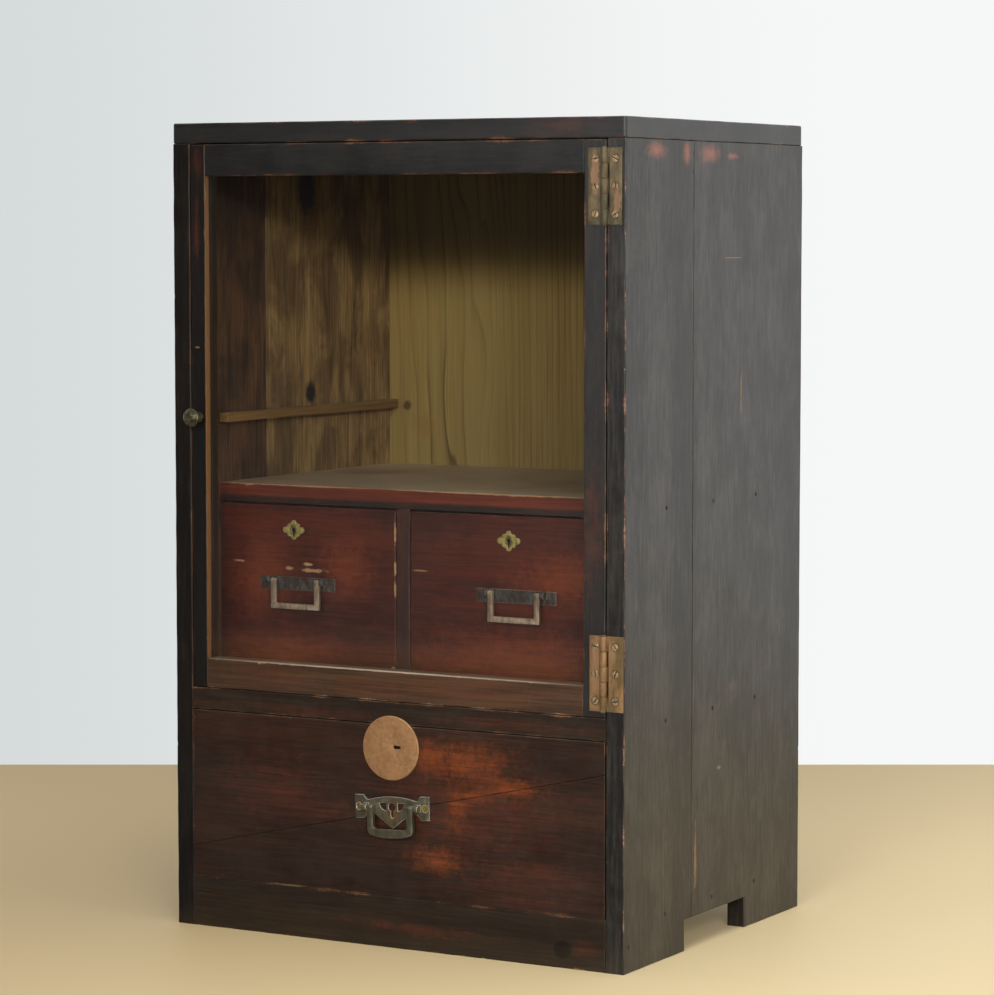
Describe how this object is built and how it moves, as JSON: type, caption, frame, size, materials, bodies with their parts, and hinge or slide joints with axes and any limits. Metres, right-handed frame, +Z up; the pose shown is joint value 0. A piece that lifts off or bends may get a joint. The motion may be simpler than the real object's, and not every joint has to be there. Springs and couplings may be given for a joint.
{
  "type": "display cabinet",
  "caption": "Small wooden display cabinet with a glazed door over a shelf and small drawers, a wide drawer below and notched feet.",
  "frame": {"origin": "under the middle of the whole object, on the floor", "axes": "+Z up, front (door and drawers) facing -Y, +X to the right seen from the front"},
  "size_m": [0.364, 0.2926, 0.576],
  "materials": {
    "stained_case_wood": "dark stain, satin, worn at the edges",
    "door_wood": "dark stain, satin, worn at the edges",
    "red_brown_wood": "red-brown lacquer, satin",
    "lower_front_wood": "dark stain rubbed through to orange-brown",
    "bare_wood": "bare softwood, matt",
    "back_pine": "bare olive-yellow pine, matt",
    "window_glass": "clear old window glass",
    "hinge_brass": "dull aged brass",
    "aged_brass": "aged brass",
    "dark_steel": "dark oxidised steel",
    "blued_steel": "dark blue-grey, mottled",
    "bare_steel": "dull grey, a little pitted",
    "green_bronze": "grey-green patina, bright on the edges",
    "pale_copper": "dull pale copper, lightly scratched"
  },
  "bodies": {
    "carcass": {"left_side_front_board": "stained_case_wood", "left_side_rear_board": "stained_case_wood", "right_side_front_board": "stained_case_wood", "right_side_rear_board": "stained_case_wood", "top_board": "stained_case_wood", "base_rail": "stained_case_wood", "mid_board": "stained_case_wood", "bottom_board": "stained_case_wood", "shelf_board": "red_brown_wood", "drawer_divider": "red_brown_wood", "back_board_left": "back_pine", "back_board_middle": "back_pine", "back_board_right": "back_pine", "shelf_cleats": "back_pine", "upper_hinge_case_leaf": "hinge_brass", "lower_hinge_case_leaf": "hinge_brass", "hinge_pins": "dark_steel", "case_hinge_screws": "hinge_brass", "case_nails": "dark_steel"},
    "door": {"door_left_stile": "door_wood", "door_right_stile": "door_wood", "door_top_rail": "door_wood", "door_bottom_rail": "door_wood", "door_glass": "window_glass", "upper_hinge_door_leaf": "hinge_brass", "lower_hinge_door_leaf": "hinge_brass", "door_hinge_screws": "hinge_brass", "door_knob": "aged_brass"},
    "left_drawer": {"left_drawer_left_side": "bare_wood", "left_drawer_right_side": "bare_wood", "left_drawer_back": "bare_wood", "left_drawer_bottom": "bare_wood", "left_lock_case": "dark_steel", "left_pull_plate": "blued_steel", "left_drawer_front": "red_brown_wood", "left_keyhole_plate": "aged_brass"},
    "left_bail": {"left_bail": "bare_steel"},
    "left_lock_bolt": {"left_lock_bolt": "aged_brass"},
    "right_drawer": {"right_drawer_left_side": "bare_wood", "right_drawer_right_side": "bare_wood", "right_drawer_back": "bare_wood", "right_drawer_bottom": "bare_wood", "right_lock_case": "dark_steel", "right_pull_plate": "blued_steel", "right_drawer_front": "red_brown_wood", "right_keyhole_plate": "aged_brass"},
    "right_bail": {"right_bail": "bare_steel"},
    "right_lock_bolt": {"right_lock_bolt": "aged_brass"},
    "lower_drawer": {"lower_drawer_left_side": "bare_wood", "lower_drawer_right_side": "bare_wood", "lower_drawer_back": "bare_wood", "lower_drawer_bottom": "bare_wood", "lower_lock_case": "dark_steel", "lower_pull_plate": "green_bronze", "lower_drawer_front_lower_board": "lower_front_wood", "lower_drawer_front_upper_board": "lower_front_wood", "lower_lock_disc": "pale_copper", "lower_pull_screws": "aged_brass"},
    "lower_bail": {"lower_bail": "green_bronze"},
    "lower_lock_bolt": {"lower_lock_bolt": "aged_brass"}
  },
  "joints": [
    {"name": "door_hinge", "type": "hinge", "parent": "carcass", "child": "door", "pos_m": [0.1672, -0.136, 0.3666], "axis": [0, 0, 1], "range_deg": [0, 175]},
    {"name": "left_drawer_slide", "type": "slide", "parent": "carcass", "child": "left_drawer", "axis": [0, -1, 0], "range_m": [0, 0.018]},
    {"name": "left_bail_swing", "type": "hinge", "parent": "left_drawer", "child": "left_bail", "pos_m": [-0.1003, -0.1014, 0.2499], "axis": [-1, 0, 0], "range_deg": [0, 95]},
    {"name": "left_lock_bolt_slide", "type": "slide", "parent": "left_drawer", "child": "left_lock_bolt", "axis": [0, 0, 1], "range_m": [0, 0.005]},
    {"name": "right_drawer_slide", "type": "slide", "parent": "carcass", "child": "right_drawer", "axis": [0, -1, 0], "range_m": [0, 0.018]},
    {"name": "right_bail_swing", "type": "hinge", "parent": "right_drawer", "child": "right_bail", "pos_m": [0.0791, -0.1014, 0.2499], "axis": [-1, 0, 0], "range_deg": [0, 95]},
    {"name": "right_lock_bolt_slide", "type": "slide", "parent": "right_drawer", "child": "right_lock_bolt", "axis": [0, 0, 1], "range_m": [0, 0.005]},
    {"name": "lower_drawer_slide", "type": "slide", "parent": "carcass", "child": "lower_drawer", "axis": [0, -1, 0], "range_m": [0, 0.2]},
    {"name": "lower_bail_swing", "type": "hinge", "parent": "lower_drawer", "child": "lower_bail", "pos_m": [0.001, -0.1385, 0.0997], "axis": [-0.9991, 0, -0.0419], "range_deg": [0, 95]},
    {"name": "lower_lock_bolt_slide", "type": "slide", "parent": "lower_drawer", "child": "lower_lock_bolt", "axis": [0, 0, 1], "range_m": [0, 0.005]}
  ]
}
